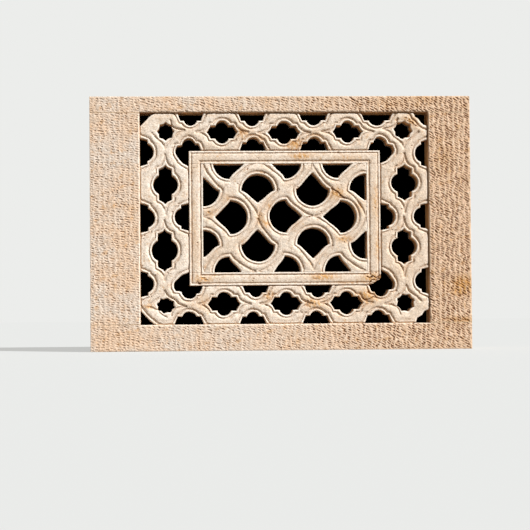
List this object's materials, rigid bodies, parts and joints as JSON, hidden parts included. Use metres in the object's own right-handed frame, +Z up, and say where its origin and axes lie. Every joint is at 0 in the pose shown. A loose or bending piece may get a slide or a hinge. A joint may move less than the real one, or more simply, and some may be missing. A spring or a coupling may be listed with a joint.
{
  "type": "carved stone window",
  "caption": "Carved stone window: a pierced lattice of cusped ribbons round a moulded frame with a wave-pattern centre, set in a tooled sandstone wall opening.",
  "frame": {"origin": "middle of the bottom face of the piece of wall, on the ground of its bed", "axes": "+X to the right seen from outside, +Y inwards through the wall, +Z up"},
  "size_m": [1.524, 0.24, 1.016],
  "materials": {
    "tan_sandstone": "tooled",
    "cream_sandstone": "carved",
    "lime_mortar": "rough"
  },
  "bodies": {
    "root": {"lintel": "tan_sandstone", "sill": "tan_sandstone", "left_jamb": "tan_sandstone", "right_jamb": "tan_sandstone", "bed_joint_lower_left": "lime_mortar", "bed_joint_lower_right": "lime_mortar", "bed_joint_upper_left": "lime_mortar", "bed_joint_upper_right": "lime_mortar", "mortar_top": "lime_mortar", "mortar_bottom": "lime_mortar", "mortar_left": "lime_mortar", "mortar_right": "lime_mortar", "border_lattice_top": "cream_sandstone", "border_lattice_bottom": "cream_sandstone", "border_lattice_left": "cream_sandstone", "border_lattice_right": "cream_sandstone", "frame_top_rail": "cream_sandstone", "frame_bottom_rail": "cream_sandstone", "frame_left_stile": "cream_sandstone", "frame_right_stile": "cream_sandstone", "centre_lattice": "cream_sandstone"}
  },
  "joints": []
}
